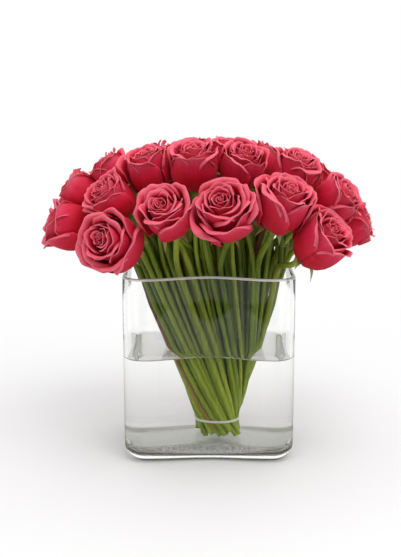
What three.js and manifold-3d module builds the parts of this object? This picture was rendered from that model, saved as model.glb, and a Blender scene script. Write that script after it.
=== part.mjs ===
// Roses in a glass vase: a domed bouquet of red roses whose stems cross in a spiral, tied near their
// cut ends and standing in water in a pinched, rectangular vase of clear glass.
// Millimetres, +Z up. The origin is the centre of the vase's underside, +X runs along the vase's
// width and the bouquet's front is towards -Y.
import * as THREE from "three";
import { mergeVertices } from "three/addons/utils/BufferGeometryUtils.js";
import Module from "manifold-3d";

const wasm = await Module();
wasm.setup();

// Driving dimensions of the vase and the water.
const VASE_WIDTH = 180;
const VASE_DEPTH = 124;
const VASE_HEIGHT = 200;
const WALL = 4.5;
const BASE = 15;
const CORNER_RADIUS = 22;
const FOOT_RADIUS = 18;
const PINCH = 14;
const PINCH_AT_FOOT = 4;
const PINCH_FULL_AT = 45;
const WATER_LEVEL = 112;
const WAIST_HOLE_TOP = 88;
const GAP = 0.3;

// Driving dimensions of the bundle of stems.
const STEM_RADIUS = 3.8;
const WAIST_STEM_RADIUS = 3;
const STEM_SIDES = 5;
const TIE_HEIGHT = 36;
const TIE_THICKNESS = 2.6;
const WAIST_RADIUS = 24;
const WAIST_SHIFT = 10;
const HEART_RADIUS = 24;
const HEART_HEIGHT = 8;
const RIM_HALF_WIDTH = 79;
const RIM_HALF_DEPTH = 38;
const RIM_SHIFT = 1.5;
const SPIRAL = THREE.MathUtils.degToRad(30);
const SIDEWAYS = 10;
const FLARE_BELOW_TIE = 0.12;
const STRAIGHT_SHARE = 0.45;
const NECK_SHARE = 0.22;
const HIP_LENGTH = 11;
const HIP_RADIUS = 5.4;
const CROWN_RADIUS = 4;
const SEPAL_REACH = 15;
const SEPAL_DROP = 7;

// Driving proportions of a rose, as shares of its head's radius.
const HEAD_BASE = 0.85;
const FACING_CENTRE = 222;
const FACING_FLATTEN = 1.3;
const PETAL_THICKNESS = 1.6;
const BUD_SIDES = 4;
const BUD_PROFILE = [
  [0.14, 0],
  [0.36, 0.45],
  [0.2, 1.25],
];
const CROWDING = 1.1;
const FREE_SHARE = 0.6;

// The roses that face the viewer: centre x, y, z, head radius, openness from 0 to 1, and how far the
// head turns to the right of, and lifts above, the dome's own direction, in degrees.
const OUTER_FRONT = [
  [15, -99, 275, 34, 1.0, -18, 14],
  [73, -86, 280, 33, 0.7, 0, 30],
  [111, -76, 241, 33, 0.5, 4, 30],
  [149, -10, 249, 28, 0.5, 0, 6],
];
const OUTER_FRONT_LEFT = [
  [-147, -22, 249, 29, 0.6, 0, 6],
  [-96, -80, 241, 33, 0.8, 10, 6],
  [-42, -94, 273, 29, 0.7, 0, 16],
];
const MIDDLE_FRONT = [
  [33, -52, 314, 27, 0.5, 0, 4],
  [86, -40, 307, 28, 0.6, 0, 14],
  [128, -36, 278, 28, 0.5, 0, 10],
];
const MIDDLE_FRONT_LEFT = [
  [-134, 8, 277, 27, 0.5, 0, 0],
  [-62, -40, 308, 27, 0.4, 0, 14],
  [-98, -46, 280, 28, 0.6, 0, 8],
  [-15, -52, 314, 29, 0.4, 0, 12],
];
// The roses on the top ridge, in the order of their stems round the heart of the bundle.
const INNER = [
  [22, -2, 316, 26, 0.4, 0, 0],
  [110, 8, 291, 27, 0.5, 0, 0],
  [61, 6, 309, 26, 0.5, 0, 0],
  [-61, 8, 309, 26, 0.5, 0, 0],
  [-102, 6, 299, 26, 0.5, 0, 0],
  [-22, 0, 316, 26, 0.4, 0, 0],
];
// The hidden side repeats the visible one by rule.
const BACK_OUTER = { count: 8, halfWidth: 146, halfDepth: 100, step: 19.5, low: 244, high: 268, radius: 29 };
const BACK_MIDDLE = [
  [83, 44, 288, 27, 0.6, 0, 0],
  [26, 50, 300, 27, 0.5, 0, 0],
  [-26, 50, 300, 27, 0.6, 0, 0],
  [-83, 44, 288, 27, 0.5, 0, 0],
];

// Finishes.
function finish(color, roughness, opacity = 1) {
  const transparent = opacity < 1;
  return new THREE.MeshStandardMaterial({ color, roughness, metalness: 0, transparent, opacity });
}

const glassMaterial = () => finish(0xdfe9e6, 0.03, 0.3);
const waterMaterial = () => finish(0xe6ece6, 0.02, 0.35);
const tieMaterial = () => finish(0xd9dfc8, 0.5);
const stemMaterial = () => finish(0x5f7426, 0.55);
const bloomMaterial = () => finish(0xc23a4e, 0.6);

// A closed geometry as a solid.
function solidOf(geometry) {
  const bare = geometry.clone();
  bare.deleteAttribute("normal");
  bare.deleteAttribute("uv");
  const merged = mergeVertices(bare, 1e-4);
  return new wasm.Manifold(
    new wasm.Mesh({
      numProp: 3,
      vertProperties: merged.attributes.position.array,
      triVerts: new Uint32Array(merged.index.array),
    }),
  );
}

// A solid as a geometry.
function geometryOf(solid) {
  const mesh = solid.getMesh();
  const geometry = new THREE.BufferGeometry();
  geometry.setAttribute("position", new THREE.BufferAttribute(mesh.vertProperties, 3));
  geometry.setIndex(new THREE.BufferAttribute(mesh.triVerts, 1));
  geometry.computeVertexNormals();
  return geometry;
}

// The largest body of a solid, with its sealed hollows filled and its loose scraps dropped.
function mainBody(solid) {
  return solid.decompose().reduce((a, b) => (a.volume() > b.volume() ? a : b));
}

function join(solids) {
  return solids.reduce((a, b) => a.add(b));
}

// A closed geometry from points and triangles.
function closedGeometry(points, triangles) {
  const geometry = new THREE.BufferGeometry();
  const places = points.flatMap((p) => [p.x, p.y, p.z]);
  geometry.setAttribute("position", new THREE.Float32BufferAttribute(places, 3));
  geometry.setIndex(triangles.flat());
  return geometry;
}

// A skin over rings of equal point counts, closed by a fan at each end, with each square face split
// along its shorter diagonal. The last fan may rise to a star: a ring with a tip over each point and a
// valley between the tips.
function loft(rings, star) {
  const count = rings[0].length;
  const points = rings.flat();
  const triangles = [];
  for (let i = 0; i + 1 < rings.length; i++) {
    for (let j = 0; j < count; j++) {
      const a = i * count + j;
      const b = i * count + ((j + 1) % count);
      if (points[a].distanceTo(points[b + count]) < points[b].distanceTo(points[a + count])) {
        triangles.push([a, b, b + count], [a, b + count, a + count]);
      } else {
        triangles.push([a, b, a + count], [b, b + count, a + count]);
      }
    }
  }
  const sumOf = (ring) => ring.reduce((sum, p) => sum.add(p), new THREE.Vector3());
  const centreOf = (ring) => sumOf(ring).divideScalar(ring.length);
  const start = points.push(centreOf(rings[0])) - 1;
  const last = (rings.length - 1) * count;
  const tips = points.length;
  const valleys = tips + count;
  points.push(...(star ? [...star.tips, ...star.valleys] : []));
  const end = points.push(star ? star.centre : centreOf(rings.at(-1))) - 1;
  for (let j = 0; j < count; j++) {
    const next = (j + 1) % count;
    const valley = valleys + j;
    triangles.push([start, next, j]);
    if (star) {
      triangles.push([last + j, last + next, valley], [last + j, valley, tips + j]);
      triangles.push([last + next, tips + next, valley]);
      triangles.push([end, tips + j, valley], [end, valley, tips + next]);
    } else {
      triangles.push([end, last + j, last + next]);
    }
  }
  return closedGeometry(points, triangles);
}

// How far each long wall is pinched in at a height.
function pinchAt(z) {
  return THREE.MathUtils.lerp(PINCH_AT_FOOT, PINCH, THREE.MathUtils.smoothstep(z, 0, PINCH_FULL_AT));
}

// The vase's outline at a height, inset from the outer wall: four corner arcs, two plain short walls
// and two long walls that dip in the middle.
function vaseOutline(z, inset) {
  const cornerSteps = 4;
  const wallSteps = 6;
  const straightX = VASE_WIDTH / 2 - CORNER_RADIUS;
  const straightY = VASE_DEPTH / 2 - CORNER_RADIUS;
  const radius = CORNER_RADIUS - inset;
  const half = [];
  for (const side of [1, -1]) {
    for (let i = 0; i <= cornerSteps; i++) {
      const angle = ((side > 0 ? 0 : 90) + (90 * i) / cornerSteps) * THREE.MathUtils.DEG2RAD;
      half.push([side * straightX + radius * Math.cos(angle), straightY + radius * Math.sin(angle)]);
    }
    for (let i = 1; side > 0 && i < wallSteps; i++) {
      const x = straightX * (1 - (2 * i) / wallSteps);
      const dip = pinchAt(z) * Math.cos((Math.PI * x) / (2 * straightX)) ** 2;
      half.push([x, VASE_DEPTH / 2 - inset - dip]);
    }
  }
  const all = [...half, ...half.map(([x, y]) => [-x, -y])];
  return all.map(([x, y]) => new THREE.Vector3(x, y, z));
}

// The vase: up the outside, over the rounded rim, down the inside to the flat inner floor.
function vaseSolid() {
  const rings = [];
  const footSteps = 4;
  for (let i = 0; i <= footSteps; i++) {
    const angle = (Math.PI / 2) * (1 - i / footSteps);
    rings.push(vaseOutline(FOOT_RADIUS * (1 - Math.sin(angle)), FOOT_RADIUS * (1 - Math.cos(angle))));
  }
  rings.push(vaseOutline(PINCH_FULL_AT, 0));
  rings.push(vaseOutline(VASE_HEIGHT - WALL / 2, 0));
  rings.push(vaseOutline(VASE_HEIGHT, WALL * 0.3));
  rings.push(vaseOutline(VASE_HEIGHT, WALL * 0.7));
  rings.push(vaseOutline(VASE_HEIGHT - WALL / 2, WALL));
  rings.push(vaseOutline(PINCH_FULL_AT, WALL));
  rings.push(...innerFootRings(0).reverse());
  return solidOf(loft(rings));
}

// The rounded foot of the vase's inside, from the floor upwards, with a gap inside it.
function innerFootRings(gap) {
  const steps = 3;
  const radius = FOOT_RADIUS - WALL - 2;
  return Array.from({ length: steps + 1 }, (_, i) => {
    const angle = (Math.PI / 2) * (1 - i / steps);
    const z = BASE + radius - (radius - gap) * Math.sin(angle);
    return vaseOutline(z, WALL + radius - (radius - gap) * Math.cos(angle));
  });
}

// The roses, each with its centre, the way that it faces and the ring that its stem stands in.
function layOutRoses() {
  const backOuter = Array.from({ length: BACK_OUTER.count }, (_, i) => {
    const angle = THREE.MathUtils.degToRad(180 + (i + 0.5 - BACK_OUTER.count / 2) * BACK_OUTER.step);
    const x = BACK_OUTER.halfWidth * Math.sin(angle);
    const y = -BACK_OUTER.halfDepth * Math.cos(angle);
    return [x, y, i % 2 ? BACK_OUTER.high : BACK_OUTER.low, BACK_OUTER.radius, 0.5 + 0.1 * (i % 3), 0, 0];
  });
  const rings = [
    { roses: [...OUTER_FRONT, ...backOuter, ...OUTER_FRONT_LEFT], share: 1, phase: 6 },
    { roses: [...MIDDLE_FRONT, ...BACK_MIDDLE, ...MIDDLE_FRONT_LEFT], share: 0.68, phase: 16 },
    { roses: INNER, share: 0.34, phase: 30 },
  ];
  return rings.flatMap(({ roses, share, phase }) =>
    roses.map(([x, y, z, radius, open, turn, lift], i) => {
      const even = phase + (360 * i) / roses.length;
      const azimuth = even + SIDEWAYS * Math.sin(2 * THREE.MathUtils.degToRad(even));
      const centre = new THREE.Vector3(x, y, z);
      const out = new THREE.Vector3(x / FACING_FLATTEN, y, z - FACING_CENTRE);
      const level = Math.hypot(out.x, out.y);
      const heading = Math.atan2(out.x, -out.y) + THREE.MathUtils.degToRad(turn);
      const rise = Math.atan2(out.z, level) + THREE.MathUtils.degToRad(lift);
      const axis = new THREE.Vector3(
        Math.cos(rise) * Math.sin(heading),
        -Math.cos(rise) * Math.cos(heading),
        Math.sin(rise),
      );
      const base = centre.clone().addScaledVector(axis, -HEAD_BASE * radius);
      return { centre, axis, base, radius, open, share, azimuth };
    }),
  );
}

// Where a stem of the bundle is at a height up to the rim. The bundle is round under the tie and
// widens to an oval at the rim, and turns less and less as it rises.
function bundlePoint(rose, z) {
  const rise = (z - TIE_HEIGHT) / (VASE_HEIGHT - TIE_HEIGHT);
  const flare = rise < 0 ? (TIE_HEIGHT - z) * FLARE_BELOW_TIE : 0;
  const up = Math.max(rise, 0);
  const halfWidth = THREE.MathUtils.lerp(WAIST_RADIUS, RIM_HALF_WIDTH, up) + flare;
  const halfDepth = THREE.MathUtils.lerp(WAIST_RADIUS, RIM_HALF_DEPTH, up) + flare;
  const growth = (RIM_HALF_WIDTH - WAIST_RADIUS) / (VASE_HEIGHT - TIE_HEIGHT);
  const pull = WAIST_RADIUS * Math.tan(SPIRAL);
  const below = Math.max(TIE_HEIGHT - z, 0);
  const wound = (pull / growth) * (1 / (halfWidth - flare) - 1 / RIM_HALF_WIDTH);
  const angle = THREE.MathUtils.degToRad(rose.azimuth) + wound + (below * pull) / WAIST_RADIUS ** 2;
  const shift = THREE.MathUtils.lerp(WAIST_SHIFT, RIM_SHIFT, rise);
  return new THREE.Vector3(
    shift + rose.share * halfWidth * Math.sin(angle),
    -rose.share * halfDepth * Math.cos(angle),
    z,
  );
}

// A stem is squeezed thinner under the tie than where it stands free.
function stemRadius(z) {
  const free = THREE.MathUtils.smoothstep(z, TIE_HEIGHT, VASE_HEIGHT);
  return THREE.MathUtils.lerp(WAIST_STEM_RADIUS, STEM_RADIUS, free);
}

// The centre line of a rose's stem, from its cut end to the foot of its hip.
function stemLine(rose, index) {
  const cutEnd = BASE + GAP + STEM_RADIUS * 0.6 + (index % 4);
  const low = [cutEnd, TIE_HEIGHT, WAIST_HOLE_TOP, VASE_HEIGHT].map((z) => bundlePoint(rose, z));
  const rim = low.at(-1);
  const hipFoot = rose.base.clone().addScaledVector(rose.axis, -GAP - HIP_LENGTH);
  const reach = rim.distanceTo(hipFoot);
  const leave = rim.clone().sub(low.at(-2)).normalize();
  const bend = new THREE.CubicBezierCurve3(
    rim,
    rim.clone().addScaledVector(leave, STRAIGHT_SHARE * reach),
    hipFoot.clone().addScaledVector(rose.axis, -NECK_SHARE * reach),
    hipFoot,
  );
  return [...low, ...bend.getPoints(3).slice(1)];
}

// A ring of points round a place on a line, with the same side always turned to the front.
function ringRound(point, along, radius, sides) {
  const side = new THREE.Vector3(0, -1, 0).cross(along).normalize();
  const up = along.clone().cross(side);
  return Array.from({ length: sides }, (_, k) => {
    const angle = (2 * Math.PI * k) / sides;
    return point
      .clone()
      .addScaledVector(side, radius * Math.cos(angle))
      .addScaledVector(up, radius * Math.sin(angle));
  });
}

// The rings of a tube along points, with a radius at each.
function tubeRings(points, radii, sides) {
  return points.map((point, i) => {
    const before = points[Math.max(i - 1, 0)];
    const after = points[Math.min(i + 1, points.length - 1)];
    return ringRound(point, after.clone().sub(before).normalize(), radii[i], sides);
  });
}

// Two directions square to a rose's axis.
function acrossAxis(axis) {
  const side = new THREE.Vector3(0, 0, 1).cross(axis).normalize();
  return [side, axis.clone().cross(side)];
}

// A point at an angle round a rose's axis, a distance out from it and along it from the head's base.
function roundAxis(rose, angle, out, along) {
  const [side, up] = acrossAxis(rose.axis);
  return rose.base
    .clone()
    .addScaledVector(side, out * Math.cos(angle))
    .addScaledVector(up, out * Math.sin(angle))
    .addScaledVector(rose.axis, along);
}

// A rose's green parts, grown by a margin: the stem, the hip that swells under the bloom, and the five
// pointed sepals, turned back from it.
function greenParts(rose, index, grow) {
  const line = stemLine(rose, index);
  const radii = line.map(({ z }) => stemRadius(z) + grow);
  const hip = rose.base.clone().addScaledVector(rose.axis, -GAP - HIP_LENGTH * 0.35);
  const rings = tubeRings([...line, hip], [...radii, HIP_RADIUS + grow], STEM_SIDES);
  const crown = rose.base.clone().addScaledVector(rose.axis, -GAP);
  const valleys = ringRound(crown, rose.axis, CROWN_RADIUS + grow, 2 * STEM_SIDES).filter((_, k) => k % 2);
  const fold = crown.clone().addScaledVector(rose.axis, -SEPAL_DROP - grow);
  const tips = ringRound(fold, rose.axis, SEPAL_REACH + 2 * grow, STEM_SIDES);
  const centre = crown.addScaledVector(rose.axis, Math.min(grow, 0.2));
  return solidOf(loft(rings, { tips, valleys, centre }));
}

// A petal: a point sunk in the bud, then rows of points to the curled edge, pressed back from the
// neighbours and given a lens section that is thickest along the middle.
function petal(rose, layer, angle, press) {
  const columns = 3;
  const grid = layer.rows.map(({ along, out, half }, r) =>
    [-1, 0, 1].map((t) => {
      const lean = r === 0 ? 0 : layer.lean * t * rose.radius;
      const dip = layer.dip * t * t * along * rose.radius;
      const from = along * rose.radius - (r === 0 ? 0 : dip) + GAP;
      return press(roundAxis(rose, angle + t * half, out * rose.radius + lean, from), rose);
    }),
  );
  const points = [grid[0][0]];
  const front = [[0, 0, 0]];
  const back = [[0, 0, 0]];
  for (let r = 1; r < grid.length; r++) {
    const [left, middle, right] = grid[r];
    const above = grid[Math.min(r + 1, grid.length - 1)][1];
    const normal = right.clone().sub(left).cross(above.clone().sub(grid[r - 1][1])).normalize();
    normal.multiplyScalar(PETAL_THICKNESS / 2);
    const first = points.push(left, right, middle.clone().add(normal), middle.clone().sub(normal)) - 4;
    front.push([first, first + 2, first + 1]);
    back.push([first, first + 3, first + 1]);
  }
  const triangles = [];
  const face = (a, b, c) => a !== b && b !== c && a !== c && triangles.push([a, b, c]);
  for (let r = 0; r + 1 < grid.length; r++) {
    for (let c = 0; c + 1 < columns; c++) {
      face(front[r][c], front[r][c + 1], front[r + 1][c + 1]);
      face(front[r][c], front[r + 1][c + 1], front[r + 1][c]);
      face(back[r][c], back[r + 1][c + 1], back[r][c + 1]);
      face(back[r][c], back[r + 1][c], back[r + 1][c + 1]);
    }
  }
  const top = grid.length - 1;
  face(front[top][0], front[top][1], back[top][1]);
  face(front[top][1], front[top][2], back[top][1]);
  return solidOf(closedGeometry(points, triangles));
}

// The layers of petals from the bud outwards. Sizes are shares of the head's radius, and an open
// rose throws its outer layers further out and lower.
function petalLayers(open) {
  const row = (along, out, degrees) => ({ along, out, half: THREE.MathUtils.degToRad(degrees) });
  return [
    {
      count: 2,
      phase: 20,
      lean: 0.05,
      dip: 0.1,
      rows: [row(0.7, 0, 0), row(1.05, 0.46, 70), row(1.42, 0.4 + 0.12 * open, 50)],
    },
    {
      count: 3,
      phase: 65,
      lean: 0.06,
      dip: 0.12,
      rows: [row(0.35, 0, 0), row(0.85, 0.7, 58), row(1.34 - 0.06 * open, 0.64 + 0.2 * open, 50)],
    },
    {
      count: 4,
      phase: 0,
      lean: 0.06,
      dip: 0.14,
      rows: [row(0.08, 0, 0), row(0.5, 0.86, 43), row(1.12 - 0.26 * open, 0.96 + 0.1 * open, 43)],
    },
  ];
}

// A bloom: the bud, and the petals that stand out of it, trimmed clear of the other roses.
function bloomSolid(rose, index, press, neighbours, otherGreens) {
  const turn = THREE.MathUtils.degToRad(37 * index);
  const budRings = BUD_PROFILE.map(([out, along]) =>
    Array.from({ length: BUD_SIDES }, (_, k) => {
      const angle = turn + (2 * Math.PI * (k + 0.5)) / BUD_SIDES;
      return roundAxis(rose, angle, out * rose.radius, along * rose.radius + GAP);
    }),
  );
  const petals = petalLayers(rose.open).flatMap((layer) =>
    Array.from({ length: layer.count }, (_, k) => {
      const angle = turn + THREE.MathUtils.degToRad(layer.phase + (360 * k) / layer.count);
      return petal(rose, layer, angle, press);
    }),
  );
  let bloom = join([solidOf(loft(budRings)), ...petals]);
  for (const { towards, border } of neighbours) {
    const limit = border - GAP / 2 + towards.dot(rose.centre);
    bloom = bloom.trimByPlane([-towards.x, -towards.y, -towards.z], -limit);
  }
  for (const green of otherGreens) {
    bloom = bloom.subtract(green);
  }
  return mainBody(bloom);
}

// The heads that a rose's head would meet: the way to each and how far off their common border is.
function neighboursOf(rose, roses) {
  return roses
    .filter((other) => other !== rose)
    .map((other) => ({ other, way: other.centre.clone().sub(rose.centre) }))
    .filter(({ other, way }) => way.length() < CROWDING * (rose.radius + other.radius))
    .map(({ other, way }) => ({
      towards: way.clone().normalize(),
      border: (way.length() * rose.radius) / (rose.radius + other.radius),
    }));
}

// Petals give way to their neighbours: past a free stretch a point nears the common border ever more
// slowly, so layers keep their order.
function pressBack(point, rose, neighbours) {
  const pressed = point.clone();
  for (const { towards, border } of neighbours) {
    const reach = pressed.clone().sub(rose.centre).dot(towards);
    const free = FREE_SHARE * border;
    const soft = border - GAP / 2 - free;
    if (reach > free) {
      const kept = free + soft * (1 - Math.exp((free - reach) / soft));
      pressed.addScaledVector(towards, kept - reach);
    }
  }
  return pressed;
}

// The water: a block a gap inside the glass, with one hole under and round the tied waist and a plain
// hole for each stem above it.
function waterSolid(roses) {
  const rings = innerFootRings(GAP);
  rings.push(vaseOutline(PINCH_FULL_AT, WALL + GAP), vaseOutline(WATER_LEVEL, WALL + GAP));
  let water = solidOf(loft(rings));
  const waistRings = [BASE - WALL, TIE_HEIGHT, WAIST_HOLE_TOP].map((z) => {
    const middle = bundlePoint({ share: 0, azimuth: 0 }, z);
    const right = bundlePoint({ share: 1, azimuth: 0 }, z);
    const reachY = Math.hypot(right.x - middle.x, right.y);
    const rise = Math.max(0, (z - TIE_HEIGHT) / (VASE_HEIGHT - TIE_HEIGHT));
    const halfWidth = THREE.MathUtils.lerp(Math.max(reachY, WAIST_RADIUS), RIM_HALF_WIDTH, rise);
    const halfDepth = THREE.MathUtils.lerp(Math.max(reachY, WAIST_RADIUS), RIM_HALF_DEPTH, rise);
    const margin = STEM_RADIUS + TIE_THICKNESS + 3 * GAP;
    return Array.from({ length: 14 }, (_, k) => {
      const angle = (2 * Math.PI * k) / 14;
      const x = middle.x + (halfWidth + margin) * Math.cos(angle);
      return new THREE.Vector3(x, (halfDepth + margin) * Math.sin(angle), z);
    });
  });
  water = water.subtract(solidOf(loft(waistRings)));
  roses.forEach((rose, i) => {
    const line = stemLine(rose, i);
    const rings = tubeRings(line, line.map(({ z }) => stemRadius(z) + GAP), STEM_SIDES);
    water = water.subtract(solidOf(loft(rings.slice(1, 4))));
  });
  return mainBody(water);
}

// The heart of the bundle, where the stems are pressed into one body under the tie.
function heartSolid() {
  const heart = new THREE.CylinderGeometry(HEART_RADIUS, HEART_RADIUS, HEART_HEIGHT, 8);
  return solidOf(heart.rotateX(Math.PI / 2).translate(WAIST_SHIFT, 0, TIE_HEIGHT));
}

// The tie: a cord laid round the waist of the bundle.
function tieSolid() {
  const cordRadius = TIE_THICKNESS / 2;
  const ringRadius = WAIST_RADIUS + WAIST_STEM_RADIUS + GAP + cordRadius;
  const ring = new THREE.TorusGeometry(ringRadius, cordRadius, 5, 20);
  return solidOf(ring.translate(WAIST_SHIFT, 0, TIE_HEIGHT));
}

const bouquet = new THREE.Group();

function addPiece(name, solid, material) {
  const mesh = new THREE.Mesh(geometryOf(solid), material);
  mesh.name = name;
  bouquet.add(mesh);
}

const roses = layOutRoses();
const greens = roses.map((rose, i) => greenParts(rose, i, 0));
const clearances = roses.map((rose, i) => greenParts(rose, i, GAP));
addPiece("vase", vaseSolid(), glassMaterial());
addPiece("water", waterSolid(roses), waterMaterial());
addPiece("tie", tieSolid(), tieMaterial());
addPiece("stems", mainBody(join([heartSolid(), ...greens])), stemMaterial());
roses.forEach((rose, i) => {
  const neighbours = neighboursOf(rose, roses);
  const press = (point) => pressBack(point, rose, neighbours);
  const otherGreens = clearances.filter((_, k) => k !== i);
  const bloom = bloomSolid(rose, i, press, neighbours, otherGreens);
  addPiece("rose_" + String(i + 1).padStart(2, "0"), bloom, bloomMaterial());
});

export default bouquet;
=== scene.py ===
"""Red roses in a pinched vase of clear glass: a domed bouquet with its stems crossed and tied in water.

Metres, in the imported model's frame: the origin is the centre of the vase's underside, +X runs along the
vase's width, the front of the bouquet is towards -Y and +Z is up.
"""
import math

import bpy
import numpy as np
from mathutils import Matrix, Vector


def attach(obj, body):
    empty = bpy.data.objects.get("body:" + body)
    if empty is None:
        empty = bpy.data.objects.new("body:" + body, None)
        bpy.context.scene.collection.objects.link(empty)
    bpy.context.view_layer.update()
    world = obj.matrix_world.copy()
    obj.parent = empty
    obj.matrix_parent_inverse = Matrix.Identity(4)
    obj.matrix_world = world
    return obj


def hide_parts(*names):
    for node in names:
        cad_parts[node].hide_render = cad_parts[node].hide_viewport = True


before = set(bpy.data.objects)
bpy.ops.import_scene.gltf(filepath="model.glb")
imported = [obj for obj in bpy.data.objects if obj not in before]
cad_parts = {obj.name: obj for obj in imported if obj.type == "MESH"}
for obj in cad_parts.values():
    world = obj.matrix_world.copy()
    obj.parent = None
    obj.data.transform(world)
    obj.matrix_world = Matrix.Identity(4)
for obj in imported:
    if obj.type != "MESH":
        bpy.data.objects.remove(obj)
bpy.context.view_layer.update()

# --- The bouquet's plan ---------------------------------------------------
# Every rose is one bloom on one stem. A row holds the bloom's centre and head radius in millimetres, how
# far it has opened, and how far it turns right of, and lifts above, the dome's own direction in degrees.
MM = 0.001
OUTER_FRONT = [
    (15, -99, 275, 34, 1.0, -18, 14),
    (73, -86, 280, 33, 0.7, 0, 30),
    (111, -76, 241, 33, 0.5, 4, 30),
    (149, -10, 249, 28, 0.5, 0, 6),
]
OUTER_FRONT_LEFT = [
    (-147, -22, 249, 29, 0.6, 0, 6),
    (-96, -80, 241, 33, 0.8, 10, 6),
    (-42, -94, 273, 29, 0.7, 0, 16),
]
MIDDLE_FRONT = [
    (33, -52, 314, 27, 0.5, 0, 4),
    (86, -40, 307, 28, 0.6, 0, 14),
    (128, -36, 278, 28, 0.5, 0, 10),
]
MIDDLE_BACK = [
    (83, 44, 288, 27, 0.6, 0, 0),
    (26, 50, 300, 27, 0.5, 0, 0),
    (-26, 50, 300, 27, 0.6, 0, 0),
    (-83, 44, 288, 27, 0.5, 0, 0),
]
MIDDLE_FRONT_LEFT = [
    (-134, 8, 277, 27, 0.5, 0, 0),
    (-62, -40, 308, 27, 0.4, 0, 14),
    (-98, -46, 280, 28, 0.6, 0, 8),
    (-15, -52, 314, 29, 0.4, 0, 12),
]
INNER = [
    (22, -2, 316, 26, 0.4, 0, 0),
    (110, 8, 291, 27, 0.5, 0, 0),
    (61, 6, 309, 26, 0.5, 0, 0),
    (-61, 8, 309, 26, 0.5, 0, 0),
    (-102, 6, 299, 26, 0.5, 0, 0),
    (-22, 0, 316, 26, 0.4, 0, 0),
]
BACK_COUNT = 8
BACK_HALF_WIDTH = 146
BACK_HALF_DEPTH = 100
BACK_STEP = 19.5
BACK_HEIGHTS = (244, 268)
BACK_RADIUS = 29
BACK_OPEN = 0.5
BACK_OPEN_STEP = 0.1

# A head's base lies this share of its radius below its centre. Heads face away from a height in the
# bouquet's middle, less so along the vase's width. Stems are drawn to the two sides, in degrees.
HEAD_BASE = 0.85
FACING_CENTRE = 222
FACING_FLATTEN = 1.3
SIDEWAYS = 10


class Rose:
    """Where one rose's head stands and faces, and where its stem stands in the bundle."""

    def __init__(self, number, row, share, azimuth):
        x, y, z, radius, self.open, turn, lift = row
        self.number = number
        self.node = f"rose_{number:02d}"
        self.radius = radius * MM
        self.share = share
        self.azimuth = math.radians(azimuth)
        self.centre = np.array((x, y, z)) * MM
        out = np.array((x / FACING_FLATTEN, y, z - FACING_CENTRE))
        heading = math.atan2(out[0], -out[1]) + math.radians(turn)
        rise = math.atan2(out[2], math.hypot(out[0], out[1])) + math.radians(lift)
        level = math.cos(rise)
        self.axis = np.array((level * math.sin(heading), -level * math.cos(heading), math.sin(rise)))
        self.base = self.centre - HEAD_BASE * self.radius * self.axis
        side = np.cross((0, 0, 1), self.axis)
        self.side = side / np.linalg.norm(side)
        self.up = np.cross(self.axis, self.side)
        self.neighbours = []
        self.forks = 0

    def place(self, angle, out, along):
        """A point at an angle round the axis, a distance out from it and along it from the head's base."""
        angle, out, along = (np.asarray(part, float)[..., None] for part in (angle, out, along))
        around = np.cos(angle) * self.side + np.sin(angle) * self.up
        return self.base + out * around + along * self.axis


def back_outer_row(i):
    """One row of the hidden side's outer ring, which runs round an ellipse."""
    angle = math.radians(180 + (i + 0.5 - BACK_COUNT / 2) * BACK_STEP)
    x = BACK_HALF_WIDTH * math.sin(angle)
    y = -BACK_HALF_DEPTH * math.cos(angle)
    return (x, y, BACK_HEIGHTS[i % 2], BACK_RADIUS, BACK_OPEN + BACK_OPEN_STEP * (i % 3), 0, 0)


def lay_out_roses():
    """Every rose; a ring has its rows, its stems' share of the bundle's width and its first azimuth."""
    outer = OUTER_FRONT + [back_outer_row(i) for i in range(BACK_COUNT)] + OUTER_FRONT_LEFT
    middle = MIDDLE_FRONT + MIDDLE_BACK + MIDDLE_FRONT_LEFT
    laid_out = []
    for rows, share, phase in ((outer, 1.0, 6), (middle, 0.68, 16), (INNER, 0.34, 30)):
        for i, row in enumerate(rows):
            azimuth = phase + 360 * i / len(rows)
            azimuth += SIDEWAYS * math.sin(math.radians(2 * azimuth))
            laid_out.append(Rose(len(laid_out) + 1, row, share, azimuth))
    return laid_out


roses = lay_out_roses()


# --- Stems ----------------------------------------------------------------
# Fresh green rose stems with their leaves and thorns stripped, which leaves low knuckles. They cross in a
# spiral, are pressed thin under the tie and swell into a hip under each bloom.
VASE_HEIGHT = 200 * MM
VASE_FLOOR = 15 * MM
TIE_HEIGHT = 36 * MM

# The bundle: round and narrow under the tie, oval at the vase's rim, turning as it rises.
WAIST_RADIUS = 24 * MM
WAIST_SHIFT = 10 * MM
RIM_HALF_WIDTH = 79 * MM
RIM_HALF_DEPTH = 38 * MM
RIM_SHIFT = 1.5 * MM
SPIRAL = math.radians(30)
FLARE_BELOW_TIE = 0.12

# Cut ends stand at five heights over the vase's floor, in millimetres.
CUT_END_LOWEST = 2.5
CUT_END_STEP = 2.2
FIRST_STEP = 8 * MM
LOW_STEPS = 19

# From the rim a stem bends on to its bloom. The pulls are shares of the way that is left.
LEAVE_PULL = 0.45
ARRIVE_PULL = 0.22
LEAST_STRAIGHT = 0.3
BEND_STEPS = 13
STEM_RADIUS = 3.1 * MM
WAIST_STEM_RADIUS = 2.8 * MM
STEM_SIDES = 12
HIP_RADIUS = 5.6 * MM
HIP_LENGTH = 11 * MM
HIP_PLACES = (0.2, 0.4, 0.55, 0.7, 0.85, 0.97)
HIP_SWELLS = (0.15, 0.55, 0.9, 1.0, 0.85, 0.6)
KNUCKLES = 6
KNUCKLE_STEPS = (28 * MM, 55 * MM)
KNUCKLE_SWELL = 0.11
KNUCKLE_LENGTH = 4 * MM

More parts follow.
